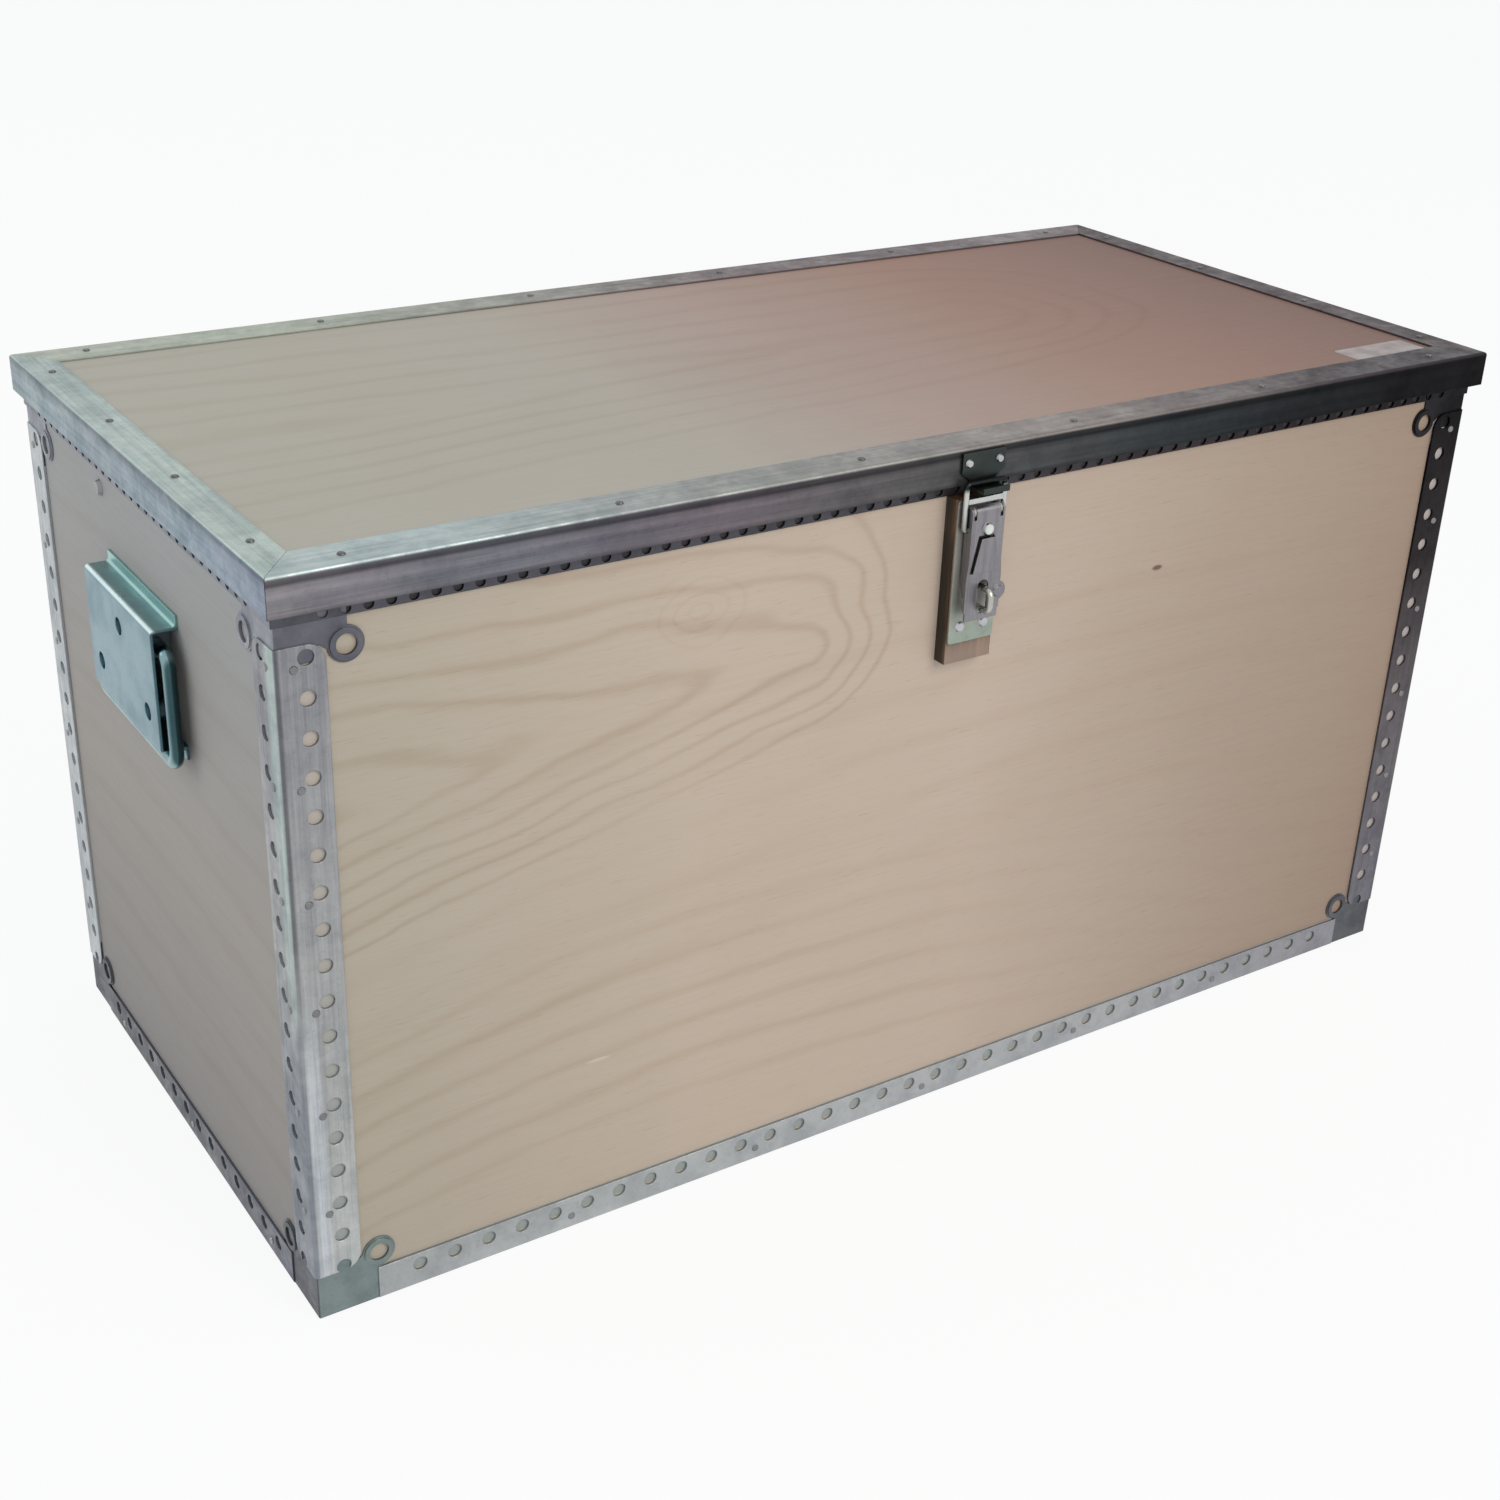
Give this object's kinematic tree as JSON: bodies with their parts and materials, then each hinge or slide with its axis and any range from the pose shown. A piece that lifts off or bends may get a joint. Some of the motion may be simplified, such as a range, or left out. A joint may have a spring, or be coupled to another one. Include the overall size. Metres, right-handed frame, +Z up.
{
  "type": "chuck box",
  "caption": "Plywood chest with perforated steel corner angles, pressed corner brackets, a steel-edged hinged lid, a lever latch on the front and a bail handle at each end.",
  "frame": {"origin": "centre of the underside, on the surface it stands on", "axes": "+X along the front to the right as seen from the front, +Y from the front to the back, +Z up; the latch is on the -Y side"},
  "size_m": [0.8008, 0.405, 0.4141],
  "materials": {
    "wall_plywood": "weathered bare plywood, worn and slightly grey",
    "lid_plywood": "bare plywood, pale with a few scuffs",
    "packer_wood": "bare softwood block, stained",
    "angle_steel": "galvanised, dull with light scratches",
    "bracket_steel": "galvanised, dull and a little darker",
    "trim_steel": "galvanised, dull",
    "lid_trim_steel": "galvanised, dull and brushed",
    "latch_steel": "zinc plated, satin",
    "wire_steel": "zinc plated wire, satin",
    "handle_steel": "zinc plated, satin with a blue-green cast",
    "bail_steel": "zinc plated, satin",
    "hinge_steel": "zinc plated, dull",
    "fastener_steel": "zinc plated, satin"
  },
  "bodies": {
    "box": {"back_panel": "wall_plywood", "bottom_angle_back": "angle_steel", "bottom_angle_front": "angle_steel", "bottom_angle_left": "angle_steel", "bottom_angle_right": "angle_steel", "bottom_bracket_back_left": "bracket_steel", "bottom_bracket_back_right": "bracket_steel", "bottom_bracket_front_left": "bracket_steel", "bottom_bracket_front_right": "bracket_steel", "bottom_panel": "wall_plywood", "bottom_screws": "fastener_steel", "corner_angle_back_left": "angle_steel", "corner_angle_back_right": "angle_steel", "corner_angle_front_left": "angle_steel", "corner_angle_front_right": "angle_steel", "frame_nails": "fastener_steel", "front_panel": "wall_plywood", "handle_bearings": "bail_steel", "handle_screws": "fastener_steel", "hinge_body_screws": "fastener_steel", "hinge_pins": "hinge_steel", "latch_base": "latch_steel", "latch_packer": "packer_wood", "latch_pivot_pin": "fastener_steel", "latch_screws": "fastener_steel", "latch_staple": "wire_steel", "left_handle_plate": "handle_steel", "left_hinge_body_leaf": "hinge_steel", "left_hinge_packer": "packer_wood", "left_panel": "wall_plywood", "lid_stay_bolt": "fastener_steel", "lid_stay_nut": "fastener_steel", "right_handle_plate": "handle_steel", "right_hinge_body_leaf": "hinge_steel", "right_hinge_packer": "packer_wood", "right_panel": "wall_plywood", "top_bracket_back_left": "bracket_steel", "top_bracket_back_right": "bracket_steel", "top_bracket_front_left": "bracket_steel", "top_bracket_front_right": "bracket_steel", "top_trim_back": "trim_steel", "top_trim_front": "trim_steel", "top_trim_left": "trim_steel", "top_trim_right": "trim_steel"},
    "lid": {"lid_panel": "lid_plywood", "lid_trim_front": "lid_trim_steel", "lid_trim_back": "lid_trim_steel", "lid_trim_left": "lid_trim_steel", "lid_trim_right": "lid_trim_steel", "lid_nails": "fastener_steel", "latch_strike": "latch_steel", "strike_rivets": "fastener_steel", "left_hinge_lid_leaf": "hinge_steel", "right_hinge_lid_leaf": "hinge_steel", "hinge_lid_screws": "fastener_steel"},
    "left_bail": {"left_handle_bail": "bail_steel"},
    "right_bail": {"right_handle_bail": "bail_steel"},
    "lever": {"latch_lever": "latch_steel"},
    "loop": {"latch_loop": "wire_steel"}
  },
  "joints": [
    {"name": "lid_hinge", "type": "hinge", "parent": "box", "child": "lid", "pos_m": [0, 0.1937, 0.3915], "axis": [-1, 0, 0], "range_deg": [0, 110]},
    {"name": "left_bail_swing", "type": "hinge", "parent": "box", "child": "left_bail", "pos_m": [-0.3939, 0, 0.3255], "axis": [0, 1, 0], "range_deg": [0, 90]},
    {"name": "right_bail_swing", "type": "hinge", "parent": "box", "child": "right_bail", "pos_m": [0.3939, 0, 0.3255], "axis": [0, -1, 0], "range_deg": [0, 90]},
    {"name": "latch_lever_swing", "type": "hinge", "parent": "box", "child": "lever", "pos_m": [0, -0.1952, 0.38], "axis": [-1, 0, 0], "range_deg": [0, 100]},
    {"name": "latch_loop_swing", "type": "hinge", "parent": "lever", "child": "loop", "pos_m": [0, -0.194, 0.37], "axis": [-1, 0, 0], "range_deg": [-100, 0]}
  ],
  "couplings": [
    {"joint": "latch_loop_swing", "follows": "latch_lever_swing", "ratio": -1}
  ]
}
